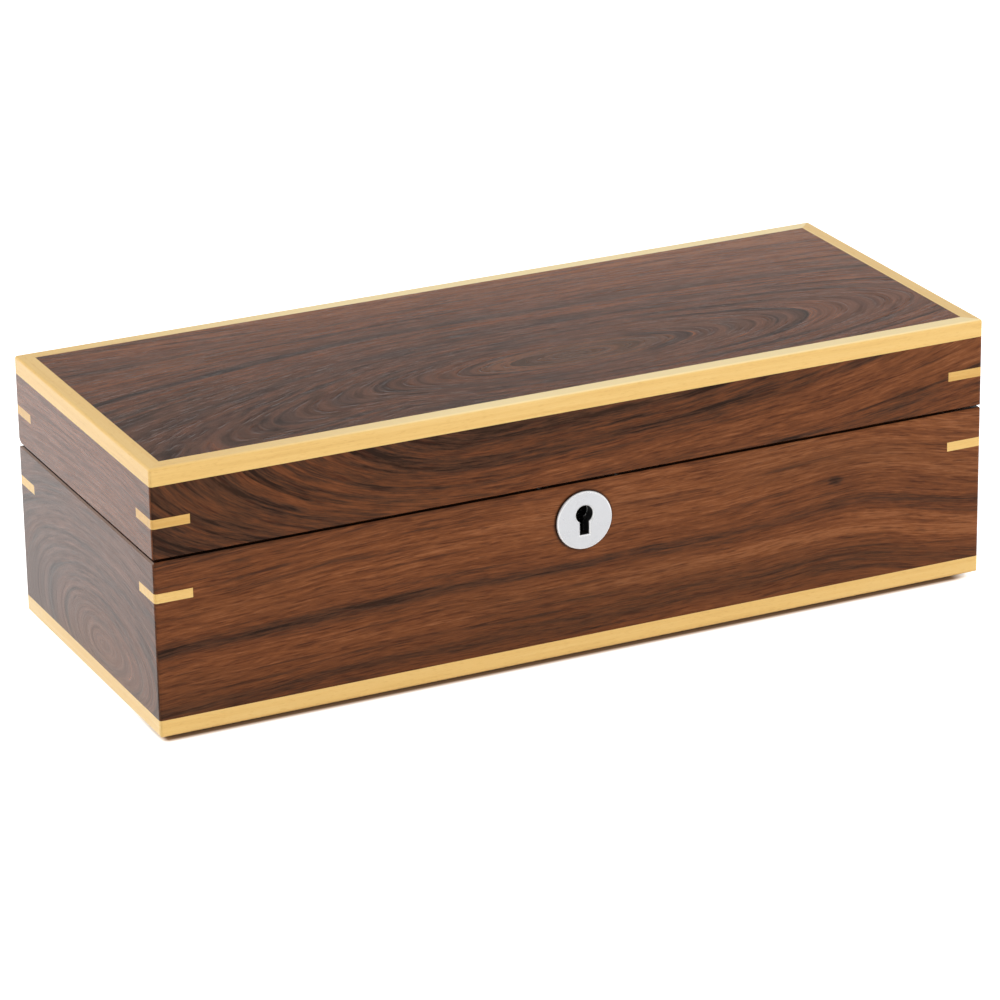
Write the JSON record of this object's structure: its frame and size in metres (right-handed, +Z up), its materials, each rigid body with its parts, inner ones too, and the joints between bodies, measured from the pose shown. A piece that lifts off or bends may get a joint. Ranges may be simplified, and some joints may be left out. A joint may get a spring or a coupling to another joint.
{
  "type": "watch box",
  "caption": "Long walnut watch box with maple edging and corner splines, a hinged lid, a keyed lock with a round plate, and lined bays with lift-out cushions.",
  "frame": {"origin": "middle of the underside of the felt, in the middle of the box's length and depth", "axes": "+X along the box to the right as seen from the front, +Y from front to back, +Z up"},
  "size_m": [0.3, 0.1212, 0.0922],
  "materials": {
    "walnut": "satin lacquer, figured grain",
    "maple": "satin lacquer, plain pale grain",
    "bottom_board": "plain sanded board",
    "felt": "pressed felt",
    "lining_velvet": "short velvet on board",
    "cushion_velvet": "short velvet, filled",
    "satin_nickel": "satin nickel",
    "plated_steel": "nickel plated",
    "lock_brass": "milled",
    "spring_steel": "blued strip"
  },
  "bodies": {
    "base": {"base_front": "walnut", "base_back": "walnut", "base_left": "walnut", "base_right": "walnut", "base_band_front": "maple", "base_band_back": "maple", "base_band_left": "maple", "base_band_right": "maple", "base_spline_front_left": "maple", "base_spline_front_right": "maple", "base_spline_back_left": "maple", "base_spline_back_right": "maple", "bottom_panel": "bottom_board", "base_felt": "felt", "lining_front": "lining_velvet", "lining_back": "lining_velvet", "lining_left": "lining_velvet", "lining_right": "lining_velvet", "floor_lining": "lining_velvet", "divider_1": "lining_velvet", "divider_2": "lining_velvet", "divider_3": "lining_velvet", "divider_4": "lining_velvet", "hinge_base_leaf_left": "plated_steel", "hinge_base_leaf_right": "plated_steel", "hinge_pins": "plated_steel", "base_screws": "plated_steel", "escutcheon": "satin_nickel", "lock_case": "plated_steel", "lock_cap": "plated_steel", "lock_spring": "spring_steel"},
    "lid": {"lid_front": "walnut", "lid_back": "walnut", "lid_left": "walnut", "lid_right": "walnut", "lid_panel": "walnut", "lid_band_front": "maple", "lid_band_back": "maple", "lid_band_left": "maple", "lid_band_right": "maple", "lid_spline_front_left": "maple", "lid_spline_front_right": "maple", "lid_spline_back_left": "maple", "lid_spline_back_right": "maple", "lid_lining_front": "lining_velvet", "lid_lining_back": "lining_velvet", "lid_lining_left": "lining_velvet", "lid_lining_right": "lining_velvet", "lid_pad": "lining_velvet", "hinge_lid_leaf_left": "plated_steel", "hinge_lid_leaf_right": "plated_steel", "lid_screws": "plated_steel", "strike_plate": "plated_steel"},
    "lock_bolt": {"lock_bolt": "lock_brass"},
    "cushion_1": {"cushion_1": "cushion_velvet"},
    "cushion_2": {"cushion_2": "cushion_velvet"},
    "cushion_3": {"cushion_3": "cushion_velvet"},
    "cushion_4": {"cushion_4": "cushion_velvet"},
    "cushion_5": {"cushion_5": "cushion_velvet"}
  },
  "joints": [
    {"name": "lid_hinge", "type": "hinge", "parent": "base", "child": "lid", "pos_m": [0, 0.0581, 0.0613], "axis": [-1, 0, 0], "range_deg": [0, 100]},
    {"name": "bolt_throw", "type": "slide", "parent": "base", "child": "lock_bolt", "axis": [1, 0, 0], "range_m": [0, 0.0035]},
    {"name": "cushion_1_lift", "type": "slide", "parent": "base", "child": "cushion_1", "axis": [0, 0, 1], "range_m": [0, 0.03]},
    {"name": "cushion_2_lift", "type": "slide", "parent": "base", "child": "cushion_2", "axis": [0, 0, 1], "range_m": [0, 0.03]},
    {"name": "cushion_3_lift", "type": "slide", "parent": "base", "child": "cushion_3", "axis": [0, 0, 1], "range_m": [0, 0.03]},
    {"name": "cushion_4_lift", "type": "slide", "parent": "base", "child": "cushion_4", "axis": [0, 0, 1], "range_m": [0, 0.03]},
    {"name": "cushion_5_lift", "type": "slide", "parent": "base", "child": "cushion_5", "axis": [0, 0, 1], "range_m": [0, 0.03]}
  ]
}
